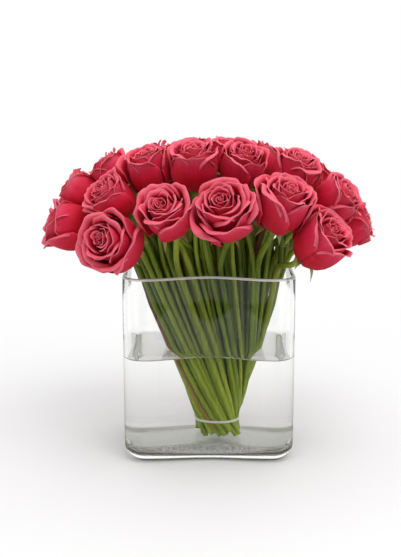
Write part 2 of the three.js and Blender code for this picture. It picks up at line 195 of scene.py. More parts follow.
# Side shoots, in rings: the share of the bundle's width, how many, and the first azimuth in degrees. A
# side shoot goes to the rose that is straight on, near, and has few of them.
SIDE_SHOOT_RINGS = [(1.0, 23, 18), (0.86, 31, 3), (0.70, 25, 9), (0.5, 21, 12), (0.2, 9, 40)]
SIDE_SHOOT_JITTER = 0.15
SIDE_SHOOT_GIRTH = 0.86
SIDE_SHOOT_GIRTHS = (0.75, 1.1)
SIDE_SHOOT_TILT = 0.3
REACH_COST = 1.5
FORK_COST = 0.1

# A stem's tone runs from deep green at 0 to red-brown at 0.95, which three stems have.
STEM_TONES = (0.12, 0.85)
SIDE_SHOOT_TONES = (0.0, 0.85)
RED_TONE = 0.95
RED_STEMS = (12, 17, 24)
STEM_GREENS = [
    (0.0, (0.10, 0.15, 0.012)),
    (0.3, (0.18, 0.26, 0.018)),
    (0.6, (0.28, 0.38, 0.03)),
    (0.86, (0.38, 0.44, 0.05)),
    (0.93, (0.26, 0.10, 0.045)),
]
STREAK_SHADES = [(0.3, (0.45, 0.5, 0.4)), (0.7, (1.15, 1.15, 1.0))]
STREAK_SCALE = (260, 260, 22)
# Painted light: this pale green is added to the stems in and near the water, fully below the lower height
# and not at all above the higher.
WATER_PAINTED_LIGHT = (0.10, 0.12, 0.004, 1)
WATER_LIGHT_FROM = 130 * MM
WATER_LIGHT_FULL_AT = 90 * MM


def blend(a, b, t):
    return a + (b - a) * t


def smooth(t):
    t = np.clip(t, 0, 1)
    return t * t * (3 - 2 * t)


def unit(v):
    return v / np.linalg.norm(v, axis=-1, keepdims=True)


def bundle_point(share, azimuth, z):
    """Where a stem is at a height up to the rim's."""
    rise = (z - TIE_HEIGHT) / (VASE_HEIGHT - TIE_HEIGHT)
    below = max(TIE_HEIGHT - z, 0)
    growth = (RIM_HALF_WIDTH - WAIST_RADIUS) / (VASE_HEIGHT - TIE_HEIGHT)
    pull = WAIST_RADIUS * math.tan(SPIRAL)
    flare = below * FLARE_BELOW_TIE
    half_width = blend(WAIST_RADIUS, RIM_HALF_WIDTH, max(rise, 0)) + flare
    half_depth = blend(WAIST_RADIUS, RIM_HALF_DEPTH, max(rise, 0)) + flare
    unwound = WAIST_RADIUS if rise < 0 else half_width
    turn = pull / growth * (1 / unwound - 1 / RIM_HALF_WIDTH) + below * pull / WAIST_RADIUS**2
    angle = azimuth + turn
    x = blend(WAIST_SHIFT, RIM_SHIFT, rise) + share * half_width * math.sin(angle)
    return np.array((x, -share * half_depth * math.cos(angle), z))


def low_points(share, azimuth, number):
    """The part of a stem that stands in the vase, from its cut end up to the rim's height."""
    cut_end = VASE_FLOOR + (CUT_END_LOWEST + CUT_END_STEP * ((number * 7) % 5)) * MM
    heights = [cut_end, *np.linspace(cut_end + FIRST_STEP, VASE_HEIGHT, LOW_STEPS)]
    return [bundle_point(share, azimuth, z) for z in heights]


def bend_to(low, target, direction):
    """A smooth bend from the top of the low part to a target, which it meets in a direction."""
    start = low[-1]
    leave = unit(low[-1] - low[-2])
    reach = np.linalg.norm(target - start)
    straight = max(LEAST_STRAIGHT, float(leave @ (target - start)) / reach)
    first = start + LEAVE_PULL * straight * reach * leave
    second = target - ARRIVE_PULL * reach * direction
    return [start * (1 - t)**3 + 3 * first * t * (1 - t)**2 + 3 * second * t * t * (1 - t) + target * t**3
            for t in np.linspace(0, 1, BEND_STEPS)[1:]]


def thickness_at(point):
    """A stem's radius, which the tie has pressed thin low down."""
    return blend(WAIST_STEM_RADIUS, STEM_RADIUS, float(smooth(point[2] / VASE_HEIGHT)))


def stem_line(rose):
    """Centre line and radii of a stem from its cut end to the crown under the bloom."""
    low = low_points(rose.share, rose.azimuth, rose.number)
    hip_foot = rose.base - HIP_LENGTH * rose.axis
    bend = bend_to(low, hip_foot, rose.axis)
    hip = [hip_foot + HIP_LENGTH * place * rose.axis for place in HIP_PLACES]
    radii = [thickness_at(point) for point in low + bend]
    swell = [blend(radii[-1], HIP_RADIUS, share) for share in HIP_SWELLS]
    return np.array(low + bend + hip), np.array(radii + swell)


def side_shoot_line(share, azimuth, number):
    """Centre line and radii of a further stem, which forks into a rose's hip."""
    low = low_points(share, azimuth, number)
    leave = unit(low[-1] - low[-2])

    def cost(rose):
        way = rose.base - low[-1]
        reach = np.linalg.norm(way)
        return np.linalg.norm(way / reach - leave) + REACH_COST * reach + FORK_COST * rose.forks

    rose = min(roses, key=cost)
    rose.forks += 1
    target = rose.base - HIP_LENGTH * rose.axis
    bend = bend_to(low, target, unit(unit(target - low[-1]) + SIDE_SHOOT_TILT * rose.axis))
    radii = [SIDE_SHOOT_GIRTH * thickness_at(point) for point in low + bend]
    return np.array(low + bend), np.array(radii)


def add_knuckles(points, radii, rng):
    """Low swellings where leaves grew, at uneven steps along a stem."""
    run = np.concatenate(([0], np.cumsum(np.linalg.norm(np.diff(points, axis=0), axis=1))))
    for place in np.cumsum(rng.uniform(*KNUCKLE_STEPS, KNUCKLES)):
        radii = radii * (1 + KNUCKLE_SWELL * np.exp(-((run - place) / KNUCKLE_LENGTH)**2))
    return radii


def new_tree(name, inputs):
    """An empty geometry tree with a geometry in and out, and its other named inputs."""
    tree = bpy.data.node_groups.new(name, "GeometryNodeTree")
    tree.interface.new_socket("Geometry", in_out="INPUT", socket_type="NodeSocketGeometry")
    for label, kind in inputs:
        tree.interface.new_socket(label, in_out="INPUT", socket_type=kind)
    tree.interface.new_socket("Geometry", in_out="OUTPUT", socket_type="NodeSocketGeometry")
    return tree, tree.nodes.new("NodeGroupInput"), tree.nodes.new("NodeGroupOutput")


def add_node(nodes, kind, values=None, **settings):
    """A new node with its settings, then with values on its inputs, by name or number."""
    node = nodes.new(kind)
    for name, setting in settings.items():
        setattr(node, name, setting)
    for label, value in (values or {}).items():
        node.inputs[label].default_value = value
    return node


def tube_tree(name):
    """Edges become round tubes with closed ends; the attribute "radius" sets each point's radius."""
    inputs = [("Sides", "NodeSocketInt"), ("Finish", "NodeSocketMaterial")]
    tree, group_in, group_out = new_tree(name, inputs)
    nodes = tree.nodes
    link = tree.links.new
    to_curve = nodes.new("GeometryNodeMeshToCurve")
    named = add_node(nodes, "GeometryNodeInputNamedAttribute", {"Name": "radius"}, data_type="FLOAT")
    set_radius = nodes.new("GeometryNodeSetCurveRadius")
    radius = nodes.new("GeometryNodeInputRadius")
    section = add_node(nodes, "GeometryNodeCurvePrimitiveCircle", {"Radius": 1})
    sweep = add_node(nodes, "GeometryNodeCurveToMesh", {"Fill Caps": True})
    shade = nodes.new("GeometryNodeSetShadeSmooth")
    realize = nodes.new("GeometryNodeRealizeInstances")
    finish = nodes.new("GeometryNodeSetMaterial")
    link(group_in.outputs["Geometry"], to_curve.inputs["Mesh"])
    link(to_curve.outputs["Curve"], set_radius.inputs["Curve"])
    link(named.outputs["Attribute"], set_radius.inputs["Radius"])
    link(group_in.outputs["Sides"], section.inputs["Resolution"])
    link(set_radius.outputs["Curve"], sweep.inputs["Curve"])
    link(section.outputs["Curve"], sweep.inputs["Profile Curve"])
    link(radius.outputs["Radius"], sweep.inputs["Scale"])
    link(sweep.outputs["Mesh"], shade.inputs["Geometry"])
    link(shade.outputs["Geometry"], realize.inputs["Geometry"])
    link(realize.outputs["Geometry"], finish.inputs["Geometry"])
    link(group_in.outputs["Finish"], finish.inputs["Material"])
    link(finish.outputs["Geometry"], group_out.inputs["Geometry"])
    return tree


def add_object(name, data):
    """A new object in the scene, at the origin."""
    added = bpy.data.objects.new(name, data)
    bpy.context.scene.collection.objects.link(added)
    return added


def grown_mesh(name, start, tree, settings):
    """The plain mesh that a tree makes from a start mesh, as an object with no modifier."""
    seed = add_object(name + "_seed", start)
    modifier = seed.modifiers.new("grow", "NODES")
    modifier.node_group = tree
    sockets = {item.name: item.identifier for item in tree.interface.items_tree if item.in_out == "INPUT"}
    for label, value in settings.items():
        modifier[sockets[label]] = value
    bpy.context.view_layer.update()
    evaluated = seed.evaluated_get(bpy.context.evaluated_depsgraph_get())
    mesh = bpy.data.meshes.new_from_object(evaluated)
    mesh.name = name
    seed.modifiers.remove(modifier)
    bpy.data.objects.remove(seed)
    return add_object(name, mesh)


def polylines(name, lines, **attributes):
    """A mesh of bare edges, one run for each line, with point attributes."""
    mesh = bpy.data.meshes.new(name)
    points = np.concatenate(lines)
    edges = []
    first = 0
    for line in lines:
        edges += [(first + i, first + i + 1) for i in range(len(line) - 1)]
        first += len(line)
    mesh.from_pydata(points.tolist(), edges, [])
    for label, values in attributes.items():
        attribute = mesh.attributes.new(label, "FLOAT", "POINT")
        attribute.data.foreach_set("value", np.concatenate(values).astype(np.float32))
    return mesh


def new_material(name):
    """A material with its shader, and a short way to add and join nodes."""
    material = bpy.data.materials.new(name)
    material.use_nodes = True
    nodes = material.node_tree.nodes
    return material, nodes, material.node_tree.links.new, nodes["Principled BSDF"]


def colour_ramp(nodes, stops):
    """A ramp through colours at places from 0 to 1."""
    ramp = nodes.new("ShaderNodeValToRGB")
    elements = ramp.color_ramp.elements
    while len(elements) < len(stops):
        elements.new(0.5)
    for element, (position, colour) in zip(elements, stops):
        element.position = position
        element.color = (*colour, 1)
    return ramp


def stem_material():
    """Each stem's own tone, streaked lengthwise, with painted light in the water, where more light comes
    in.
    """
    material, nodes, link, shader = new_material("stem_green")
    tone = add_node(nodes, "ShaderNodeAttribute", attribute_name="tone")
    greens = colour_ramp(nodes, STEM_GREENS)
    place = nodes.new("ShaderNodeTexCoord")
    stretch = add_node(nodes, "ShaderNodeMapping", {"Scale": STREAK_SCALE})
    streaks = add_node(nodes, "ShaderNodeTexNoise", {"Scale": 1, "Detail": 4})
    shade = colour_ramp(nodes, STREAK_SHADES)
    streaked = add_node(nodes, "ShaderNodeMix", {"Factor": 0.55}, data_type="RGBA", blend_type="MULTIPLY")
    height = nodes.new("ShaderNodeSeparateXYZ")
    # Painted light: the stems are made lighter in and near the water.
    water_light_mask = add_node(nodes, "ShaderNodeMapRange", {"From Min": WATER_LIGHT_FROM, "From Max": WATER_LIGHT_FULL_AT})
    water_light_added = add_node(nodes, "ShaderNodeMix", {"B": WATER_PAINTED_LIGHT}, data_type="RGBA", blend_type="ADD")
    ridge = add_node(nodes, "ShaderNodeBump", {"Strength": 0.25, "Distance": 0.6 * MM})
    link(tone.outputs["Fac"], greens.inputs["Fac"])
    link(place.outputs["Object"], stretch.inputs["Vector"])
    link(stretch.outputs["Vector"], streaks.inputs["Vector"])
    link(streaks.outputs["Fac"], shade.inputs["Fac"])
    link(greens.outputs["Color"], streaked.inputs["A"])
    link(shade.outputs["Color"], streaked.inputs["B"])
    link(place.outputs["Object"], height.inputs["Vector"])
    link(height.outputs["Z"], water_light_mask.inputs["Value"])
    link(water_light_mask.outputs["Result"], water_light_added.inputs["Factor"])
    link(streaked.outputs["Result"], water_light_added.inputs["A"])
    link(water_light_added.outputs["Result"], shader.inputs["Base Color"])
    link(streaks.outputs["Fac"], ridge.inputs["Height"])
    link(ridge.outputs["Normal"], shader.inputs["Normal"])
    shader.inputs["Roughness"].default_value = 0.42
    shader.inputs["Specular IOR Level"].default_value = 0.4
    return material


def finish_piece(piece, slot, *replaced):
    """A finished piece rides on the part's one body and stands for its solids."""
    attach(piece, "root")
    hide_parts(*replaced)
    return piece


def make_stems():
    """The stems of all the roses, then the side shoots, as one piece."""
    rng = np.random.default_rng(11)
    lines, radii, tones = [], [], []
    for rose in roses:
        points, widths = stem_line(rose)
        lines.append(points)
        radii.append(add_knuckles(points, widths, rng))
        tone = RED_TONE if rose.number in RED_STEMS else rng.uniform(*STEM_TONES)
        tones.append(np.full(len(points), tone))
    for share, count, phase in SIDE_SHOOT_RINGS:
        for i in range(count):
            jitter = rng.uniform(-SIDE_SHOOT_JITTER, SIDE_SHOOT_JITTER)
            azimuth = math.radians(phase + 360 * (i + jitter) / count)
            points, widths = side_shoot_line(share, azimuth, 3 * i + count)
            lines.append(points)
            radii.append(add_knuckles(points, widths * rng.uniform(*SIDE_SHOOT_GIRTHS), rng))
            tones.append(np.full(len(points), rng.uniform(*SIDE_SHOOT_TONES)))
    start = polylines("stems_start", lines, radius=radii, tone=tones)
    settings = {"Sides": STEM_SIDES, "Finish": stem_material()}
    piece = grown_mesh("stems", start, tube_tree("stem_tube"), settings)
    return finish_piece(piece, "stem", "stems")


make_stems()


# --- Sepals ---------------------------------------------------------------
# Five narrow green blades under every bloom, grown from the top of the hip and turned back as the bloom
# opened.
SEPAL_LENGTH = 23 * MM
SEPAL_HALF_WIDTH = 3.1 * MM
SEPAL_THICKNESS = 0.5 * MM
SEPAL_ROWS = 9
SEPAL_COLUMNS = 5

# A sepal leaves the hip here, slanting up by the first pitch, and ends falling by the second, in radians
# from the head's axis. Its length and its swing to one side vary.
SEPAL_FOOT_OUT = 3.6 * MM
SEPAL_FOOT_UP = 0.4 * MM
SEPAL_PITCH = 1.1
SEPAL_FALLS = (1.7, 2.7)
SEPAL_STRETCHES = (0.8, 1.1)
SEPAL_SWING = 0.25
SEPAL_TIP = 0.05
SEPAL_GREENS = [(0.0, (0.26, 0.34, 0.08)), (0.6, (0.36, 0.43, 0.14)), (1.0, (0.36, 0.25, 0.09))]


def shell_faces(rows, columns, first):
    """Faces of a thin closed sheet: a front grid, a back grid and the strip that joins their edges."""
    count = rows * columns
    index = np.arange(count).reshape(rows, columns) + first
    a, b, c, d = index[:-1, :-1], index[:-1, 1:], index[1:, 1:], index[1:, :-1]
    front = np.stack((a, b, c, d), -1).reshape(-1, 4)
    back = front[:, ::-1] + count
    rim = np.concatenate((index[0, :], index[1:, -1], index[-1, -2::-1], index[-2:0:-1, 0]))
    after = np.roll(rim, -1)
    edge = np.stack((after, rim, rim + count, after + count), -1)
    return np.concatenate((front, back, edge))


def shell_points(grid, thickness):
    """Front and back points of a sheet, from its middle surface and its thickness."""
    along = np.gradient(grid, axis=0)
    across = np.gradient(grid, axis=1)
    normal = np.cross(across, along)
    normal /= np.maximum(np.linalg.norm(normal, axis=-1, keepdims=True), 1e-12)
    half = np.asarray(thickness)[..., None] / 2
    return np.concatenate(((grid + normal * half).reshape(-1, 3), (grid - normal * half).reshape(-1, 3)))


def smooth_mesh(name, points, faces):
    """A mesh with all its faces shaded smooth."""
    mesh = bpy.data.meshes.new(name)
    mesh.from_pydata(points.tolist(), [], faces)
    mesh.polygons.foreach_set("use_smooth", np.ones(len(mesh.polygons), bool))
    return mesh


def sheet_piece(name, sheets, material):
    """One mesh of many closed sheets. A sheet has its points, its faces and a colour for each point."""
    points, faces, colours = (np.concatenate(part) for part in zip(*sheets))
    mesh = smooth_mesh(name, points, faces.tolist())
    attribute = mesh.attributes.new("place", "FLOAT_COLOR", "POINT")
    attribute.data.foreach_set("color", colours.astype(np.float32).ravel())
    mesh.materials.append(material)
    mesh.update()
    return add_object(name, mesh)


def sepal_material():
    """Dull green that pales along the blade and browns at its tip."""
    material, nodes, link, shader = new_material("sepal_green")
    place = add_node(nodes, "ShaderNodeAttribute", attribute_name="place")
    split = nodes.new("ShaderNodeSeparateColor")
    greens = colour_ramp(nodes, SEPAL_GREENS)
    link(place.outputs["Color"], split.inputs["Color"])
    link(split.outputs["Green"], greens.inputs["Fac"])
    link(greens.outputs["Color"], shader.inputs["Base Color"])
    shader.inputs["Roughness"].default_value = 0.6
    shader.inputs["Subsurface Weight"].default_value = 0.08
    return material


def sepal_sheet(rose, angle, rng, first):
    """One blade: t runs along it and u across it."""
    t = np.linspace(0, 1, SEPAL_ROWS)[:, None]
    u = np.linspace(-1, 1, SEPAL_COLUMNS)[None, :]
    pitch = blend(SEPAL_PITCH, rng.uniform(*SEPAL_FALLS), smooth(t * 1.3))
    step = rng.uniform(*SEPAL_STRETCHES) * SEPAL_LENGTH / (SEPAL_ROWS - 1)
    out = SEPAL_FOOT_OUT + np.cumsum(np.sin(pitch), axis=0) * step
    along = SEPAL_FOOT_UP + np.cumsum(np.cos(pitch), axis=0) * step
    taper = np.maximum((1 - t)**0.8, SEPAL_TIP)
    half = SEPAL_HALF_WIDTH * taper * (0.75 + 0.6 * np.sin(math.pi * t))
    cup = 0.35 * half * u * u
    swing = rng.uniform(-SEPAL_SWING, SEPAL_SWING) * t
    grid = rose.place(angle + swing + 0 * u, out + cup, along + 0 * u)
    across = np.cross(rose.axis, grid - rose.base)
    grid = grid + unit(across) * (half * u)[..., None]
    thickness = SEPAL_THICKNESS * (1 - 0.7 * u * u) * (1 - 0.6 * t)
    place = np.zeros((SEPAL_ROWS, SEPAL_COLUMNS, 4))
    place[..., 0] = (u + 1) / 2
    place[..., 1] = t
    place[..., 3] = 1
    faces = shell_faces(SEPAL_ROWS, SEPAL_COLUMNS, first)
    return shell_points(grid, thickness), faces, np.tile(place.reshape(-1, 4), (2, 1))


def make_sepals():
    """Five sepals for each rose, all in one piece."""
    rng = np.random.default_rng(23)
    sheets = []
    first = 0
    for rose in roses:
        for k in range(5):
            sheet = sepal_sheet(rose, math.radians(72 * k) + 0.3 * rose.number, rng, first)
            first += len(sheet[0])
            sheets.append(sheet)
    return finish_piece(sheet_piece("sepals", sheets, sepal_material()), "stem", "stems")


make_sepals()


# --- Blooms ---------------------------------------------------------------
# Each bloom is about two dozen thin, velvety petals wound round a tight heart. They cup it, part one after
# another, roll their rims outwards and give way where a neighbouring bloom presses on them.
FEWEST_PETALS = 22
OPEN_PETALS = 4
GOLDEN_TURN = math.radians(137.5)
TURN_JITTER = 0.4
PETAL_THICKNESS = 0.45 * MM
RIM_THINNING = 0.4
BODY_ROWS = 9
ROLL_ROWS = 8
PETAL_COLUMNS = 19

# How near a neighbour presses, and where on the way to its border a petal starts to yield and must end.
CROWDING = 1.1
FREE_SHARE = 0.85
YIELD = 1.12

# A petal's shape. Its lengths are shares of the head's radius.
HEAD_SCALE = 1.02
BODY_SHARE = 0.78
ROLL_SHARE = 0.22
HEART_CUP = 0.045
INNER_CUP = 0.22
OUTER_CUP = 0.50
BELLY = 1.10
HEART_HEIGHT = 1.58
FOOT_HEIGHT = 0.40
HEART_OFFSET = 0.08
HEART_CURL = math.radians(26)
OUTER_CURL = 66
OPEN_CURL = 34
OUTER_ARC = math.radians(66)
HEART_ARC = math.radians(88)
POINT_WIDTH = 0.16

# Colours from a petal's foot to its rim, on its face and on its underside, and between its veins. Up the
# petal they are partly its own colour and partly painted light: dark at the foot, painted shade deep in
# the bloom, and pale at the rim, a painted highlight.
PETAL_FACE_AND_PAINTED_LIGHT = [
    (0.0, (0.36, 0.0, 0.004)),
    (0.5, (0.57, 0.003, 0.02)),
    (0.70, (0.74, 0.02, 0.07)),
    (0.85, (0.86, 0.11, 0.18)),
    (1.0, (0.97, 0.34, 0.42)),
]
PETAL_UNDER_AND_PAINTED_LIGHT = [
    (0.0, (0.38, 0.0, 0.006)),
    (0.5, (0.62, 0.004, 0.028)),
    (0.82, (0.78, 0.04, 0.09)),
    (1.0, (0.89, 0.17, 0.24)),
]
VEIN_SHADES = [(0.25, (0.86, 0.80, 0.82)), (0.75, (1.06, 1.1, 1.08))]
VEIN_SCALE = (34, 5, 30)
SHEEN_TINT = (1.0, 0.45, 0.55, 1)


def find_neighbours():
    """For each rose the blooms that press on it, by direction and by the distance of their border."""
    for rose in roses:
        for other in roses:
            way = other.centre - rose.centre
            gap = np.linalg.norm(way)
            if other is not rose and gap < CROWDING * (rose.radius + other.radius):
                border = gap * rose.radius / (rose.radius + other.radius)
                rose.neighbours.append((way / gap, border))


def press_back(rose, points):
    """Past a free stretch a point nears the border with a neighbour ever more slowly."""
    for towards, border in rose.neighbours:
        reach = (points - rose.centre) @ towards
        free = FREE_SHARE * border
        soft = YIELD * border - free
        over = np.maximum(reach - free, 0)
        points = points + ((soft * (1 - np.exp(-over / soft)) - over)[..., None]) * towards
    return points


def petal_grid(rose, t, angle, rng):
    """A petal's middle surface; t is its place in the bloom, from 0 at the heart to 1 outside."""
    o = rose.open
    scale = HEAD_SCALE * rose.radius

    # Up the body runs s, then w round the rolled rim. Across runs u, and v is the height on both.
    s = np.concatenate((np.linspace(0, 1, BODY_ROWS), np.ones(ROLL_ROWS)))[:, None]
    w = np.concatenate((np.zeros(BODY_ROWS), np.linspace(0, 1, ROLL_ROWS + 1)[1:]))[:, None]
    u = np.linspace(-1, 1, PETAL_COLUMNS)[None, :]
    v = BODY_SHARE * s + ROLL_SHARE * w

    # How far out it stands and how high it reaches, lower to its two sides and not alike.
    outer = np.clip((t - 0.3) / 0.7, 0, 1)
    cup = HEART_CUP + INNER_CUP * float(smooth(t / 0.36)) + (OUTER_CUP + 0.10 * o) * outer**0.9
    cup = cup * rng.uniform(0.90, 1.07)
    top = HEART_HEIGHT - 0.20 * o + 0.08 * o * math.sin(math.pi * t) - (0.04 + 0.36 * o) * t**2.2
    top = top + rng.uniform(-0.07, 0.05)
    left, right = rng.uniform(0.65, 1.35, 2)
    uneven = np.where(u < 0, left, right)**np.abs(u)
    height = top * (1 - (0.12 + 0.20 * t) * np.abs(u)**3.2 * uneven)

    # The body: a cubic curve from the foot, out round the belly and up to the rim.
    flare = 0.80 + 0.22 * t
    belly = 1.14 - 0.6 * max(o - 0.6, 0) * t
    foot = FOOT_HEIGHT * (1 - t)
    b0, b1, b2, b3 = (1 - s)**3, 3 * s * (1 - s)**2, 3 * s * s * (1 - s), s**3
    out = b0 * 0.07 + b1 * cup * belly + b2 * cup * BELLY + b3 * cup * flare
    rise = b0 * foot + b1 * foot + b2 * (0.58 * height) + b3 * height
    lean = np.arctan2(cup * (flare - BELLY), 0.42 * height)

    # The rim: an arc that goes on from the body's lean and curls outwards.
    phase_a, phase_b, phase_c, phase_d = rng.uniform(0, 2 * math.pi, 4)
    curl = HEART_CURL + math.radians(OUTER_CURL + OPEN_CURL * o) * t**0.8
    curl = curl * (0.92 + 0.12 * u**2 * uneven + 0.22 * np.sin(3.1 * u + phase_d)) * rng.uniform(0.75, 1.2)
    roll = (0.05 + 0.105 * t**0.9) * rng.uniform(0.75, 1.2) * (1 - 0.7 * u**4)
    bent = curl * w
    out = out + roll * (np.cos(lean) - np.cos(lean + bent))
    rise = rise + roll * (np.sin(lean + bent) - np.sin(lean))

    # A small point at the middle of the rim, the width round the bloom, and the rim's ruffles.
    point = np.exp(-((u - rng.uniform(-0.15, 0.15)) / POINT_WIDTH)**2) * w**2
    out = out + 0.025 * t * point
    rise = rise + 0.015 * point
    half = OUTER_ARC + HEART_ARC * (1 - t)**2
    half = half * (0.42 + 0.58 * smooth(s * 1.8)) * (1 - 0.16 * w**1.5) * rng.uniform(0.88, 1.08)
    wave = v**3 * (0.45 + 0.55 * t)
    ruffle = 0.042 * np.sin(4.4 * u + phase_a) + 0.022 * np.sin(10 * u + phase_c)
    out = out * (1 + 0.07 * u * v) + ruffle * wave
    rise = rise + (0.034 * np.sin(6.2 * u + phase_b) + 0.018 * np.sin(14 * u + phase_a)) * wave
    grid = rose.place(angle + u * half, out * scale, rise * scale)
    aside = math.cos(2.4 * rose.number) * rose.side + math.sin(2.4 * rose.number) * rose.up
    grid = grid + (HEART_OFFSET * scale * (1 - t) * s)[..., None] * aside
    return press_back(rose, grid), u, v


def bloom_sheets(rose):
    """A bloom's petals. A point's colour holds u, v, the petal's t, and 0 on its face or 1 under it."""
    rng = np.random.default_rng(100 + rose.number)
    count = FEWEST_PETALS + round(OPEN_PETALS * rose.open)
    rows = BODY_ROWS + ROLL_ROWS
    sheets = []
    first = 0
    start = rng.uniform(0, 2 * math.pi)
    for i in range(count):
        t = i / (count - 1)
        angle = start + i * GOLDEN_TURN + rng.uniform(-TURN_JITTER, TURN_JITTER)
        grid, u, v = petal_grid(rose, t, angle, rng)
        points = shell_points(grid, PETAL_THICKNESS * (1 - RIM_THINNING * v**3) + 0 * u)
        place = np.zeros((2, rows, PETAL_COLUMNS, 4))
        place[..., 0] = (u + 1) / 2
        place[..., 1] = v
        place[..., 2] = t
        place[1, ..., 3] = 1
        sheets.append((points, shell_faces(rows, PETAL_COLUMNS, first), place.reshape(-1, 4)))
        first += len(points)
    return sheets


def petal_material():
    """Foot deep red and rim pink, partly painted shade and highlight; veined lengthwise, with a soft
    velvet sheen.
    """
    material, nodes, link, shader = new_material("rose_petal")
    place = add_node(nodes, "ShaderNodeAttribute", attribute_name="place")
    split = nodes.new("ShaderNodeSeparateColor")
    # Painted light: the ramps add painted shade at the foot and a painted highlight at the rim, over the
    # petal's own colour.
    face = colour_ramp(nodes, PETAL_FACE_AND_PAINTED_LIGHT)
    under = colour_ramp(nodes, PETAL_UNDER_AND_PAINTED_LIGHT)
    sides = add_node(nodes, "ShaderNodeMix", data_type="RGBA")
    spread = add_node(nodes, "ShaderNodeMapping", {"Scale": VEIN_SCALE})
    veins = add_node(nodes, "ShaderNodeTexNoise", {"Scale": 1, "Detail": 5})
    vein_shade = colour_ramp(nodes, VEIN_SHADES)
    veined = add_node(nodes, "ShaderNodeMix", {"Factor": 0.8}, data_type="RGBA", blend_type="MULTIPLY")
    relief = add_node(nodes, "ShaderNodeBump", {"Strength": 0.16, "Distance": 0.8 * MM})
    link(place.outputs["Color"], split.inputs["Color"])
    link(split.outputs["Green"], face.inputs["Fac"])
    link(split.outputs["Green"], under.inputs["Fac"])
    link(place.outputs["Alpha"], sides.inputs["Factor"])
    link(face.outputs["Color"], sides.inputs["A"])
    link(under.outputs["Color"], sides.inputs["B"])
    link(place.outputs["Vector"], spread.inputs["Vector"])
    link(spread.outputs["Vector"], veins.inputs["Vector"])
    link(veins.outputs["Fac"], vein_shade.inputs["Fac"])
    link(sides.outputs["Result"], veined.inputs["A"])
    link(vein_shade.outputs["Color"], veined.inputs["B"])
    link(veined.outputs["Result"], shader.inputs["Base Color"])
    link(veins.outputs["Fac"], relief.inputs["Height"])
    link(relief.outputs["Normal"], shader.inputs["Normal"])
    shader.inputs["Roughness"].default_value = 0.62
    shader.inputs["Specular IOR Level"].default_value = 0.2
    shader.inputs["Sheen Weight"].default_value = 0.1
    shader.inputs["Sheen Roughness"].default_value = 0.45
    shader.inputs["Sheen Tint"].default_value = SHEEN_TINT
    return material


def make_blooms():
    """One piece for each bloom."""
    find_neighbours()
    velvet = petal_material()
    for rose in roses:
        piece = sheet_piece(f"bloom_{rose.number:02d}", bloom_sheets(rose), velvet)
        finish_piece(piece, "petal", rose.node)


make_blooms()


# --- Tie ------------------------------------------------------------------
# A thin pale cord, wound a little over twice round the bundle near the cut ends, where it bites slightly
# into the stems.
TIE_CORD_RADIUS = 1.0 * MM
TIE_PRESSED_OUT = 0.6
TIE_TURNS = 2.15
TIE_RISE = 2.2 * MM
TIE_STEPS = 150
TIE_SIDES = 10
TIE_COLOUR = (0.86, 0.88, 0.82, 1)


def make_tie():
    """A cord in a low helix round the bundle's waist."""
    angle = np.linspace(0, 2 * math.pi * TIE_TURNS, TIE_STEPS)
    ring = WAIST_RADIUS + WAIST_STEM_RADIUS + TIE_CORD_RADIUS * TIE_PRESSED_OUT
    height = TIE_HEIGHT + (np.linspace(0, 1, TIE_STEPS) - 0.5) * TIE_RISE
    line = np.stack((WAIST_SHIFT + ring * np.cos(angle), ring * np.sin(angle), height), -1)
    material, _, _, shader = new_material("tie_cord")
    shader.inputs["Base Color"].default_value = TIE_COLOUR
    shader.inputs["Roughness"].default_value = 0.35
    start = polylines("tie_start", [line], radius=[np.full(TIE_STEPS, TIE_CORD_RADIUS)])
    piece = grown_mesh("tie", start, tube_tree("tie_tube"), {"Sides": TIE_SIDES, "Finish": material})
    return finish_piece(piece, "tie", "tie")


make_tie()


# --- Vase -----------------------------------------------------------------
# One piece of clear pressed glass: a rectangular vase with rounded corners, long walls pinched in at the
# middle, a fire-polished rim and a thick solid base.
VASE_WIDTH = 180 * MM
VASE_DEPTH = 124 * MM
WALL = 4.5 * MM
CORNER_RADIUS = 22 * MM
FOOT_RADIUS = 18 * MM
PINCH = 14 * MM
PINCH_AT_FOOT = 4 * MM
PINCH_FULL_AT = 45 * MM
INNER_FOOT_RADIUS = FOOT_RADIUS - WALL - 2 * MM
INNER_FOOT_TOP = VASE_FLOOR + INNER_FOOT_RADIUS
WATER_LEVEL = 112 * MM
MENISCUS = 1.6 * MM
GLASS_IOR = 1.5
WATER_IOR = 1.33
GLASS_TINT = (0.995, 1.0, 0.993)
# The lip is partly matt white: a painted highlight for the shine along the polished rim.
LIP_ROUGHNESS = 0.15
LIP_CLEARNESS = 0.3

# The underside is worn matt, over this many bands from its centre. It is plain seen from above, and
# mottled dark grey seen more aslant: painted shade for the shadowed table under the vase, seen through
# the foot.
GROUND_BANDS = 8
GROUND_ROUGHNESS = 0.22
GROUND_CLEARNESS = 0.15
GROUND_PLAIN = (0.95, 0.95, 0.9)
PAINTED_SHADE_DARK = (0.07, 0.07, 0.05)
PAINTED_SHADE_LIGHT = (0.28, 0.28, 0.20)
GROUND_SLANTS = (0.54, 0.70)

# Where the vase's materials stand in its list: the glass in air, in water, ground, and at the lip.
DRY, WET, GROUND, LIP = range(4)

# Points along a corner's arc, a long wall, and a short wall, and rings on the way to a flat's centre.
CORNER_STEPS = 9
LONG_WALL_STEPS = 27
SHORT_WALL_STEPS = 7
FLAT_LEVELS = 5


